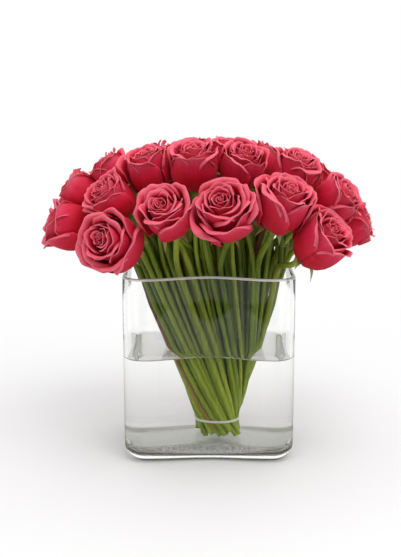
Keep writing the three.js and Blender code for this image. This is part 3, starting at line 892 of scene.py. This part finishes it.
def vase_outline(z, inset):
    """The plan at a height: four corner arcs, plain short walls and long walls that dip in the middle."""
    straight_x = VASE_WIDTH / 2 - CORNER_RADIUS
    straight_y = VASE_DEPTH / 2 - CORNER_RADIUS
    radius = CORNER_RADIUS - inset
    pinch = blend(PINCH_AT_FOOT, PINCH, float(smooth(z / PINCH_FULL_AT)))
    half = []
    for angle in np.linspace(0, math.pi / 2, CORNER_STEPS):
        half.append((straight_x + radius * math.cos(angle), straight_y + radius * math.sin(angle)))
    for x in np.linspace(straight_x, -straight_x, LONG_WALL_STEPS)[1:-1]:
        dip = pinch * math.cos(math.pi * x / (2 * straight_x))**2
        half.append((x, VASE_DEPTH / 2 - inset - dip))
    for angle in np.linspace(math.pi / 2, math.pi, CORNER_STEPS):
        half.append((-straight_x + radius * math.cos(angle), straight_y + radius * math.sin(angle)))
    for y in np.linspace(straight_y, -straight_y, SHORT_WALL_STEPS)[1:-1]:
        half.append((-VASE_WIDTH / 2 + inset, y))
    both = np.array(half + [(-x, -y) for x, y in half])
    return np.column_stack((both, np.full(len(both), z)))


def wall_rings(start, end, steps, inset):
    """Rings up or down a wall, without the one that it starts from."""
    return [vase_outline(z, inset) for z in np.linspace(start, end, steps + 1)[1:]]


def inner_foot(gap):
    """Rings of the inside's rounded foot, from the floor upwards, a gap inside it."""
    arc = INNER_FOOT_RADIUS - gap
    return [vase_outline(INNER_FOOT_TOP - arc * math.cos(a), WALL + INNER_FOOT_RADIUS - arc * math.sin(a))
            for a in np.linspace(0, math.pi / 2, CORNER_STEPS)]


def fill_flat(ring):
    """Rings that shrink from an outline to its centre, without the outline itself."""
    centre = ring.mean(axis=0)
    return [centre + (ring - centre) * k / FLAT_LEVELS for k in range(FLAT_LEVELS - 1, 0, -1)]


def skin_piece(name, rings, materials, material_of_band):
    """A closed skin over rings, with a fan at each end. A band's place in the run gives its material."""
    count = len(rings[0])
    points = np.concatenate(rings + [rings[0].mean(axis=0)[None], rings[-1].mean(axis=0)[None]])
    faces = []
    slots = []
    for i in range(len(rings) - 1):
        for j in range(count):
            a, b = i * count + j, i * count + (j + 1) % count
            faces.append((a, b, b + count, a + count))
            slots.append(material_of_band(i))
    last = (len(rings) - 1) * count
    start, end = len(points) - 2, len(points) - 1
    for j in range(count):
        faces.append((start, (j + 1) % count, j))
        faces.append((end, last + j, last + (j + 1) % count))
        slots += [material_of_band(-1), material_of_band(len(rings))]
    mesh = smooth_mesh(name, points, faces)
    for material in materials:
        mesh.materials.append(material)
    mesh.polygons.foreach_set("material_index", slots)
    mesh.update()
    return add_object(name, mesh)


def clear_material(name, ior, colour, roughness=0, clearness=1):
    """Glass or water, which bends light by its index against what lies on its other side."""
    material, _, _, shader = new_material(name)
    shader.inputs["Base Color"].default_value = (*colour, 1)
    shader.inputs["Roughness"].default_value = roughness
    shader.inputs["IOR"].default_value = ior
    shader.inputs["Transmission Weight"].default_value = clearness
    return material


def smooth_range(nodes, start, end, low=0, high=1):
    """A node that eases from the low to the high value while its input goes from start to end."""
    values = {"From Min": start, "From Max": end, "To Min": low, "To Max": high}
    return add_node(nodes, "ShaderNodeMapRange", values, interpolation_type="SMOOTHSTEP")


def ground_material():
    """The underside, worn matt; seen aslant through the foot's front, a mottled grey of painted shade."""
    material = clear_material("ground_glass", GLASS_IOR, GLASS_TINT, GROUND_ROUGHNESS, GROUND_CLEARNESS)
    nodes = material.node_tree.nodes
    link = material.node_tree.links.new
    shader = nodes["Principled BSDF"]
    place = nodes.new("ShaderNodeTexCoord")
    mottle = add_node(nodes, "ShaderNodeTexNoise", {"Scale": 160, "Detail": 3})
    # Painted shade: the mottled dark grey where the underside is seen aslant.
    shade = colour_ramp(nodes, [(0.35, PAINTED_SHADE_DARK), (0.65, PAINTED_SHADE_LIGHT)])
    slant = nodes.new("ShaderNodeLayerWeight")
    grazing = smooth_range(nodes, *GROUND_SLANTS)
    seen = add_node(nodes, "ShaderNodeMix", {"A": (*GROUND_PLAIN, 1)}, data_type="RGBA")
    relief = add_node(nodes, "ShaderNodeBump", {"Strength": 0.6, "Distance": 1 * MM})
    link(place.outputs["Object"], mottle.inputs["Vector"])
    link(mottle.outputs["Fac"], shade.inputs["Fac"])
    link(slant.outputs["Facing"], grazing.inputs["Value"])
    link(grazing.outputs["Result"], seen.inputs["Factor"])
    link(shade.outputs["Color"], seen.inputs["B"])
    link(seen.outputs["Result"], shader.inputs["Base Color"])
    link(mottle.outputs["Fac"], relief.inputs["Height"])
    link(relief.outputs["Normal"], shader.inputs["Normal"])
    return material


def make_vase():
    """One skin: the underside, the outside, the lip, then the inside down to the floor's centre."""
    outside = [vase_outline(FOOT_RADIUS * (1 - math.cos(a)), FOOT_RADIUS * (1 - math.sin(a)))
               for a in np.linspace(0, math.pi / 2, 12)]
    shoulder = VASE_HEIGHT - WALL / 2
    rings = fill_flat(outside[0])[::-1] + outside
    rings += wall_rings(FOOT_RADIUS, PINCH_FULL_AT, 7, 0)
    rings += wall_rings(PINCH_FULL_AT, shoulder, 6, 0)
    first_lip = len(rings) - 1
    rings += [vase_outline(VASE_HEIGHT - WALL / 2 * (1 - math.sin(a)), WALL / 2 * (1 - math.cos(a)))
              for a in np.linspace(0, math.pi, 11)[1:]]
    last_lip = len(rings) - 2
    rings += wall_rings(shoulder, WATER_LEVEL + MENISCUS, 3, WALL)
    first_wet = len(rings) - 1
    rings += wall_rings(WATER_LEVEL + MENISCUS, PINCH_FULL_AT, 4, WALL)
    rings += wall_rings(PINCH_FULL_AT, INNER_FOOT_TOP, 4, WALL)
    inside = inner_foot(0)[::-1]
    rings += inside[1:] + fill_flat(inside[-1])
    dry = clear_material("clear_glass", GLASS_IOR, GLASS_TINT)
    wet = clear_material("clear_glass_wet", GLASS_IOR / WATER_IOR, GLASS_TINT)
    # Painted highlight: the lip is partly matt white.
    lip = clear_material("lip_painted_highlight", GLASS_IOR, GLASS_TINT, LIP_ROUGHNESS, LIP_CLEARNESS)
    materials = [dry, wet, ground_material(), lip]

    def material_of_band(band):
        if band < GROUND_BANDS:
            return GROUND
        if first_lip <= band <= last_lip:
            return LIP
        return WET if band >= first_wet else DRY

    piece = skin_piece("vase_glass", rings, materials, material_of_band)
    return finish_piece(piece, "glass", "vase")


make_vase()


# --- Water ----------------------------------------------------------------
# Clear water a little over half way up the vase. It wets the glass, so its edge climbs the wall. Where it
# lies against the glass, the glass's own wet faces bend the light and the water's do not.
WETTING = 0.1 * MM
WATER_TINT = (0.998, 1.0, 0.996)
MENISCUS_STEPS = (0.15, 0.4, 0.8, 1.4, 2.4, 4.0)
MENISCUS_FALL = 1.6


def make_water():
    """One skin that reaches a hair into the glass, with a top that climbs the wall."""
    inside = inner_foot(-WETTING)
    inset = WALL - WETTING
    rings = fill_flat(inside[0])[::-1] + inside
    rings += wall_rings(INNER_FOOT_TOP, PINCH_FULL_AT, 4, inset)
    rings += wall_rings(PINCH_FULL_AT, WATER_LEVEL + MENISCUS, 5, inset)
    first_open = len(rings) - 1
    for back in MENISCUS_STEPS:
        height = WATER_LEVEL + MENISCUS * math.exp(-MENISCUS_FALL * back)
        rings.append(vase_outline(height, inset + back * MM))
    rings += fill_flat(rings[-1])
    against = clear_material("water_on_glass", 1.0, (1, 1, 1))
    surface = clear_material("water_surface", WATER_IOR, WATER_TINT)
    piece = skin_piece("water_body", rings, [against, surface], lambda band: int(band >= first_open))
    return finish_piece(piece, "water", "water")


make_water()


# --- Studio ---------------------------------------------------------------
# A pale table that fades into white behind, soft light from above and behind, and a dark place low in
# front, which the glass mirrors, seen from the photograph's place.
FLOOR_GAP = 0.3 * MM
FLOOR_HALF_WIDTH = 6
TABLE_EDGE = -0.62
FLOOR_BACK = 8
FLOOR_FADE = (0.15, 0.65)
FLOOR_COLOUR = (0.86, 0.86, 0.865, 1)
# Painted reflection: the table turns this dark where glass mirrors it.
DARK_FLOOR = (0.12, 0.12, 0.12, 1)
# Painted shade: seen through glass, the table's front darkens over this edge by up to this share.
FRONT_SHADE_EDGE = (-0.10, -0.16)
FRONT_SHADE = 0.5
# Painted light: seen through glass, the far end's glow is this much stronger.
BACK_GLOW = 0.09


def combine(nodes, link, first, second, **settings):
    """The value that a math node makes of two others."""
    node = add_node(nodes, "ShaderNodeMath", **settings)
    link(first, node.inputs[0])
    link(second, node.inputs[1])
    return node.outputs["Value"]


def make_floor():
    """The table. Glass mirrors it painted dark, and through glass its front has painted shade, its far end
    painted light.
    """
    mesh = bpy.data.meshes.new("floor")
    corners = [(-FLOOR_HALF_WIDTH, TABLE_EDGE), (FLOOR_HALF_WIDTH, TABLE_EDGE),
               (FLOOR_HALF_WIDTH, FLOOR_BACK), (-FLOOR_HALF_WIDTH, FLOOR_BACK)]
    mesh.from_pydata([(x, y, -FLOOR_GAP) for x, y in corners], [], [(0, 1, 2, 3)])
    material, nodes, link, shader = new_material("floor_white")
    shader.inputs["Roughness"].default_value = 0.8
    place = nodes.new("ShaderNodeTexCoord")
    split = nodes.new("ShaderNodeSeparateXYZ")
    link(place.outputs["Object"], split.inputs["Vector"])

    # Mirrored rays count as glossy, but so do rays through glass, which are taken off.
    ray = nodes.new("ShaderNodeLightPath").outputs
    through = ray["Is Transmission Ray"]
    # Painted reflection: the table is dark where glass mirrors it.
    mirrored = combine(nodes, link, ray["Is Glossy Ray"], through, operation="SUBTRACT", use_clamp=True)
    # Painted shade: seen through glass, the table's front is darker.
    edge = {"From Min": FRONT_SHADE_EDGE[0], "From Max": FRONT_SHADE_EDGE[1], "To Max": FRONT_SHADE}
    in_front = add_node(nodes, "ShaderNodeMapRange", edge)
    front_shade = combine(nodes, link, in_front.outputs["Result"], through, operation="MULTIPLY")
    darkness = combine(nodes, link, mirrored, front_shade, operation="ADD")
    colour = add_node(nodes, "ShaderNodeMix", {"A": FLOOR_COLOUR, "B": DARK_FLOOR}, data_type="RGBA")
    link(split.outputs["Y"], in_front.inputs["Value"])
    link(darkness, colour.inputs["Factor"])
    link(colour.outputs["Result"], shader.inputs["Base Color"])

    # Painted light: seen through glass, the far end glows brighter.
    brighter = add_node(nodes, "ShaderNodeMath", {1: BACK_GLOW, 2: 1.0}, operation="MULTIPLY_ADD")
    glow = nodes.new("ShaderNodeEmission")
    fade = smooth_range(nodes, *FLOOR_FADE)
    mixed = nodes.new("ShaderNodeMixShader")
    link(through, brighter.inputs[0])
    link(brighter.outputs["Value"], glow.inputs["Strength"])
    link(split.outputs["Y"], fade.inputs["Value"])
    link(fade.outputs["Result"], mixed.inputs["Fac"])
    link(shader.outputs["BSDF"], mixed.inputs[1])
    link(glow.outputs["Emission"], mixed.inputs[2])
    link(mixed.outputs["Shader"], nodes["Material Output"].inputs["Surface"])
    mesh.materials.append(material)
    add_object("floor", mesh)


# The surround's light by direction: y is -1 in front and 1 behind, and z is 1 overhead.
FRONT_TO_BACK = (-0.95, -0.2)
FRONT_LIGHT = 0.25
BACK_LIGHT = 1.0
LOW_TO_HIGH = (0.0, 0.9)
OVERHEAD_LIGHT = 1.06
LIGHT_THROUGH_GLASS = 1.09
DARK_AHEAD = (-0.72, -0.88)
DARK_BELOW = (0.06, -0.04)
DARK_LIGHT = 0.02


def make_surround():
    """White to the eye. Its light is weaker in front, except through glass, and all but gone low there."""
    world = bpy.data.worlds.new("surround")
    bpy.context.scene.world = world
    world.use_nodes = True
    nodes = world.node_tree.nodes
    link = world.node_tree.links.new
    direction = nodes.new("ShaderNodeTexCoord")
    split = nodes.new("ShaderNodeSeparateXYZ")
    front_to_back = smooth_range(nodes, *FRONT_TO_BACK, FRONT_LIGHT, BACK_LIGHT)
    low_to_high = smooth_range(nodes, *LOW_TO_HIGH)
    overhead = add_node(nodes, "ShaderNodeMix", {"B": OVERHEAD_LIGHT})
    ray = nodes.new("ShaderNodeLightPath")
    through_glass = add_node(nodes, "ShaderNodeMix", {"B": LIGHT_THROUGH_GLASS})
    link(direction.outputs["Generated"], split.inputs["Vector"])
    link(split.outputs["Y"], front_to_back.inputs["Value"])
    link(split.outputs["Z"], low_to_high.inputs["Value"])
    link(low_to_high.outputs["Result"], overhead.inputs["Factor"])
    link(front_to_back.outputs["Result"], overhead.inputs["A"])
    link(ray.outputs["Is Transmission Ray"], through_glass.inputs["Factor"])
    link(overhead.outputs["Result"], through_glass.inputs["A"])

    ahead = smooth_range(nodes, *DARK_AHEAD)
    below = smooth_range(nodes, *DARK_BELOW)
    dark = combine(nodes, link, ahead.outputs["Result"], below.outputs["Result"], operation="MULTIPLY")
    dimmed = add_node(nodes, "ShaderNodeMix", {"B": DARK_LIGHT})
    link(split.outputs["Y"], ahead.inputs["Value"])
    link(split.outputs["Z"], below.inputs["Value"])
    link(dark, dimmed.inputs["Factor"])
    link(through_glass.outputs["Result"], dimmed.inputs["A"])

    lit = nodes["Background"]
    lit.inputs["Color"].default_value = (1, 1, 1, 1)
    seen = add_node(nodes, "ShaderNodeBackground", {"Color": (1, 1, 1, 1)})
    choose = nodes.new("ShaderNodeMixShader")
    link(dimmed.outputs["Result"], lit.inputs["Strength"])
    link(ray.outputs["Is Camera Ray"], choose.inputs["Fac"])
    link(lit.outputs["Background"], choose.inputs[1])
    link(seen.outputs["Background"], choose.inputs[2])
    link(choose.outputs["Shader"], nodes["World Output"].inputs["Surface"])


LAMP_PLACE = Vector((0.25, -0.6, 1.3))
LAMP_AIM = Vector((0, 0, 0.2))
LAMP_SIZE = 0.8
LAMP_WATTS = 6


def make_lamp():
    """A broad soft lamp above and in front, a little to the right."""
    light = bpy.data.lights.new("softbox", "AREA")
    light.size = LAMP_SIZE
    light.energy = LAMP_WATTS
    lamp = add_object("softbox", light)
    lamp.location = LAMP_PLACE
    lamp.rotation_euler = (LAMP_AIM - LAMP_PLACE).to_track_quat("-Z", "Y").to_euler()


CAMERA_PLACE = (-0.003, -1.052, 0.420)
CAMERA_PITCH = math.radians(11.75)
FOCAL_PIXELS = 1000
FRAME_WIDTH = 401
FRAME_HEIGHT = 557
CENTRE_PIXEL = (206, 266)
SENSOR = 36


def make_camera():
    """The camera fitted to the photograph's view of the vase."""
    camera = bpy.data.cameras.new("camera")
    camera.sensor_width = SENSOR
    camera.lens = FOCAL_PIXELS * SENSOR / FRAME_HEIGHT
    camera.shift_x = (FRAME_WIDTH / 2 - CENTRE_PIXEL[0]) / FRAME_HEIGHT
    camera.shift_y = (CENTRE_PIXEL[1] - FRAME_HEIGHT / 2) / FRAME_HEIGHT
    camera.clip_start = 0.05
    view = add_object("camera", camera)
    view.location = CAMERA_PLACE
    view.rotation_euler = (math.pi / 2 - CAMERA_PITCH, 0, 0)
    bpy.context.scene.camera = view


make_floor()
make_surround()
make_lamp()
make_camera()
bpy.context.scene.view_settings.view_transform = "Standard"

# Enough bounces for light that is caught in the thick glass.
GLASS_BOUNCES = 28
bpy.context.scene.cycles.max_bounces = GLASS_BOUNCES
bpy.context.scene.cycles.transmission_bounces = GLASS_BOUNCES
bpy.context.scene.cycles.glossy_bounces = GLASS_BOUNCES
